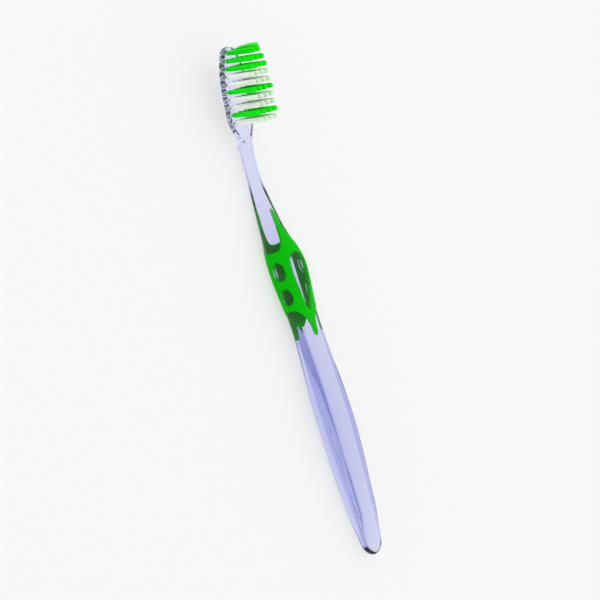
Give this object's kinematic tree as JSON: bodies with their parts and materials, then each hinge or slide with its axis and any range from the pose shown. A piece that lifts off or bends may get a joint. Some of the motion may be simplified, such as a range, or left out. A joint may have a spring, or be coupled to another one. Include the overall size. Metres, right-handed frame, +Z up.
{
  "type": "manual toothbrush",
  "caption": "Manual toothbrush with a clear one-piece handle, neck and head, a windowed soft grip sleeve and nylon tufts anchored in rows.",
  "frame": {"origin": "on the table under the middle of the brush's length, with the brush lying on its back", "axes": "+X from the tail to the tip of the head, +Y across the handle, +Z up, the way the bristles point"},
  "size_m": [0.1803, 0.0128, 0.0229],
  "materials": {
    "clear_plastic": "clear lilac-tinted plastic, moulded and polished",
    "grip_rubber": "bright green soft-touch elastomer, satin",
    "green_nylon": "green nylon filament, end-rounded",
    "white_nylon": "translucent white nylon filament, end-rounded",
    "anchor_metal": "drawn and flattened wire, bare"
  },
  "bodies": {
    "root": {"handle_body": "clear_plastic", "grip_sleeve": "grip_rubber", "green_tuft_r01_c1": "green_nylon", "green_tuft_r01_c2": "green_nylon", "green_tuft_r02_c1": "green_nylon", "green_tuft_r02_c2": "green_nylon", "green_tuft_r02_c3": "green_nylon", "green_tuft_r03_c1": "green_nylon", "green_tuft_r03_c2": "green_nylon", "green_tuft_r03_c3": "green_nylon", "green_tuft_r03_c4": "green_nylon", "white_tuft_r04_c1": "white_nylon", "white_tuft_r04_c2": "white_nylon", "white_tuft_r04_c3": "white_nylon", "white_tuft_r04_c4": "white_nylon", "white_tuft_r05_c1": "white_nylon", "white_tuft_r05_c2": "white_nylon", "white_tuft_r05_c3": "white_nylon", "white_tuft_r05_c4": "white_nylon", "green_tuft_r06_c1": "green_nylon", "green_tuft_r06_c2": "green_nylon", "green_tuft_r06_c3": "green_nylon", "green_tuft_r06_c4": "green_nylon", "white_tuft_r07_c1": "white_nylon", "white_tuft_r07_c2": "white_nylon", "white_tuft_r07_c3": "white_nylon", "white_tuft_r07_c4": "white_nylon", "white_tuft_r08_c1": "white_nylon", "white_tuft_r08_c2": "white_nylon", "white_tuft_r08_c3": "white_nylon", "white_tuft_r08_c4": "white_nylon", "green_tuft_r09_c1": "green_nylon", "green_tuft_r09_c2": "green_nylon", "green_tuft_r09_c3": "green_nylon", "green_tuft_r09_c4": "green_nylon", "white_tuft_r10_c1": "white_nylon", "white_tuft_r10_c2": "white_nylon", "white_tuft_r10_c3": "white_nylon", "white_tuft_r10_c4": "white_nylon", "tuft_anchors": "anchor_metal"}
  },
  "joints": []
}
